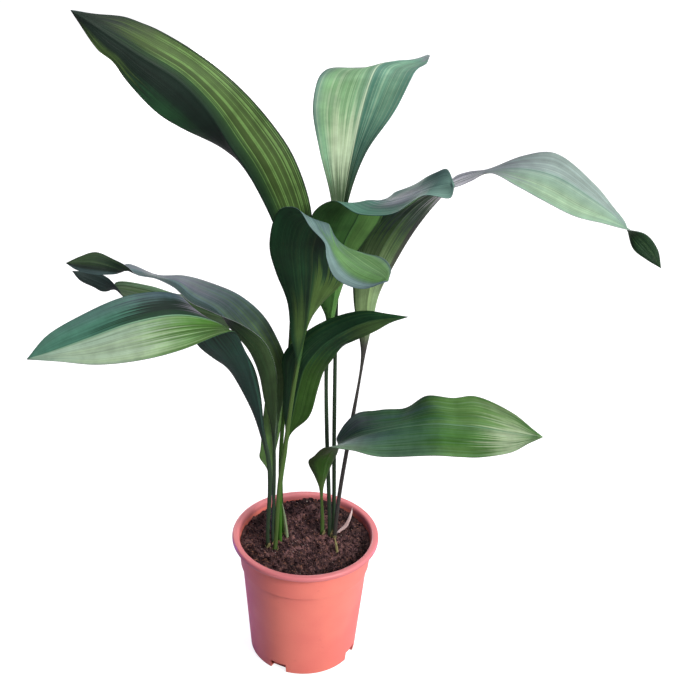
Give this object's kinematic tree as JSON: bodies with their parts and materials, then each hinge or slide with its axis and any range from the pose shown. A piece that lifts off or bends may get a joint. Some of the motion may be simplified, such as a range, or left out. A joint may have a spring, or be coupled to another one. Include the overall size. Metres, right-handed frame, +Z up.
{
  "type": "potted plant",
  "caption": "Potted cast iron plant: long arching waved leaves on slim stalks rise from soil in a tapered plastic grower's pot with a rolled lip and drainage notches.",
  "frame": {"origin": "centre of the pot's flat underside", "axes": "+Z up the pot's axis, -Y towards the viewer of the picture, +X to the viewer's right"},
  "size_m": [0.5938, 0.354, 0.7818],
  "materials": {
    "pot_plastic": "satin moulded plastic",
    "soil": "rough peat",
    "rootstock": "rough bark",
    "leaf_tall": "waxy",
    "leaf_streaked": "waxy",
    "leaf_dark": "waxy",
    "leaf_right": "waxy",
    "leaf_low": "waxy",
    "leaf_left": "waxy",
    "dry_sheath": "papery",
    "yellow_scale": "papery",
    "green_sheath": "dull"
  },
  "bodies": {
    "root": {"pot": "pot_plastic", "soil": "soil", "rhizome_left": "rootstock", "rhizome_right": "rootstock", "leaf_tall_left": "leaf_tall", "leaf_upright": "leaf_streaked", "leaf_centre": "leaf_dark", "leaf_far_right": "leaf_right", "leaf_mid_right": "leaf_right", "leaf_low_right": "leaf_low", "leaf_front": "leaf_low", "leaf_low_left": "leaf_left", "leaf_arched_left": "leaf_left", "leaf_back_left": "leaf_left", "dry_sheath": "dry_sheath", "yellow_scale": "yellow_scale", "green_sheath": "green_sheath"}
  },
  "joints": []
}
